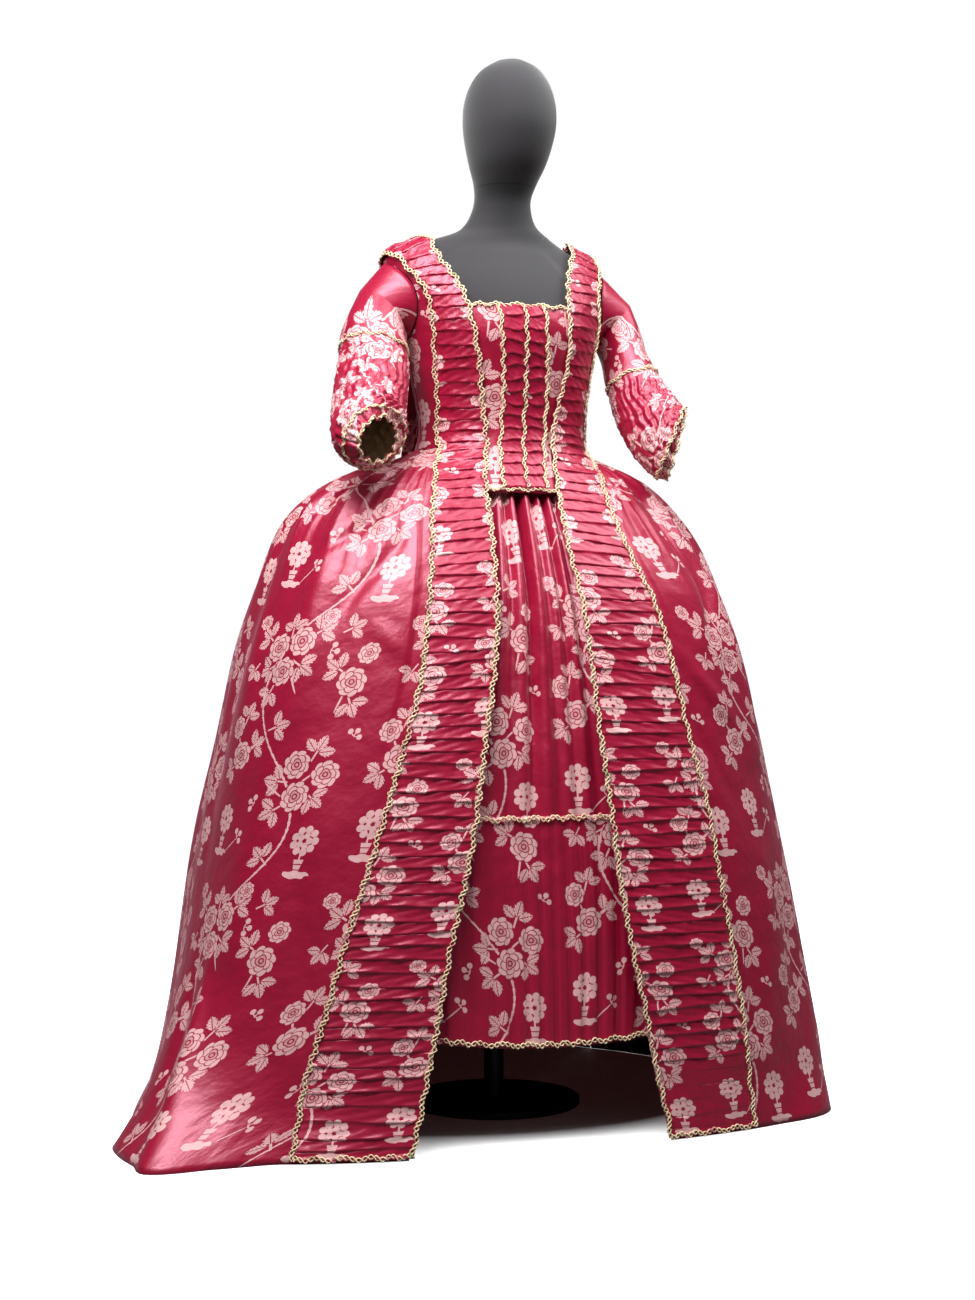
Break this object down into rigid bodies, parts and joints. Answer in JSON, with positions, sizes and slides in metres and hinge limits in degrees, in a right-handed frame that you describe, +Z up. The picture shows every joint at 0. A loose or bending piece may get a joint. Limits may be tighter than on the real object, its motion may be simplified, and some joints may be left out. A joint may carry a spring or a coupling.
{
  "type": "robe a la francaise on a dress form",
  "caption": "18th century court dress with a sack back, wide hooped skirt, ruched robings, stomacher, petticoat and elbow sleeves, worn on a dark dress form.",
  "frame": {"origin": "on the floor, under the middle of the box round the whole costume, train included", "axes": "+Z up, the wearer faces -Y, the wearer's left is +X"},
  "size_m": [1.1632, 1.0426, 1.684],
  "materials": {
    "satin": "satin",
    "form_cloth": "matte",
    "stand_steel": "satin"
  },
  "bodies": {
    "root": {"dress_form": "form_cloth", "stand_base": "stand_steel", "stand_pole": "stand_steel", "petticoat_back": "satin", "petticoat_front": "satin", "petticoat_flounce": "satin", "bodice_back_right": "satin", "bodice_back_left": "satin", "bodice_front_right": "satin", "bodice_front_left": "satin", "stomacher": "satin", "stomacher_ruching_right": "satin", "stomacher_ruching_left": "satin", "skirt_side_right": "satin", "skirt_side_left": "satin", "sack_back": "satin", "robing_right": "satin", "robing_left": "satin", "sleeve_right": "satin", "sleeve_left": "satin"}
  },
  "joints": []
}
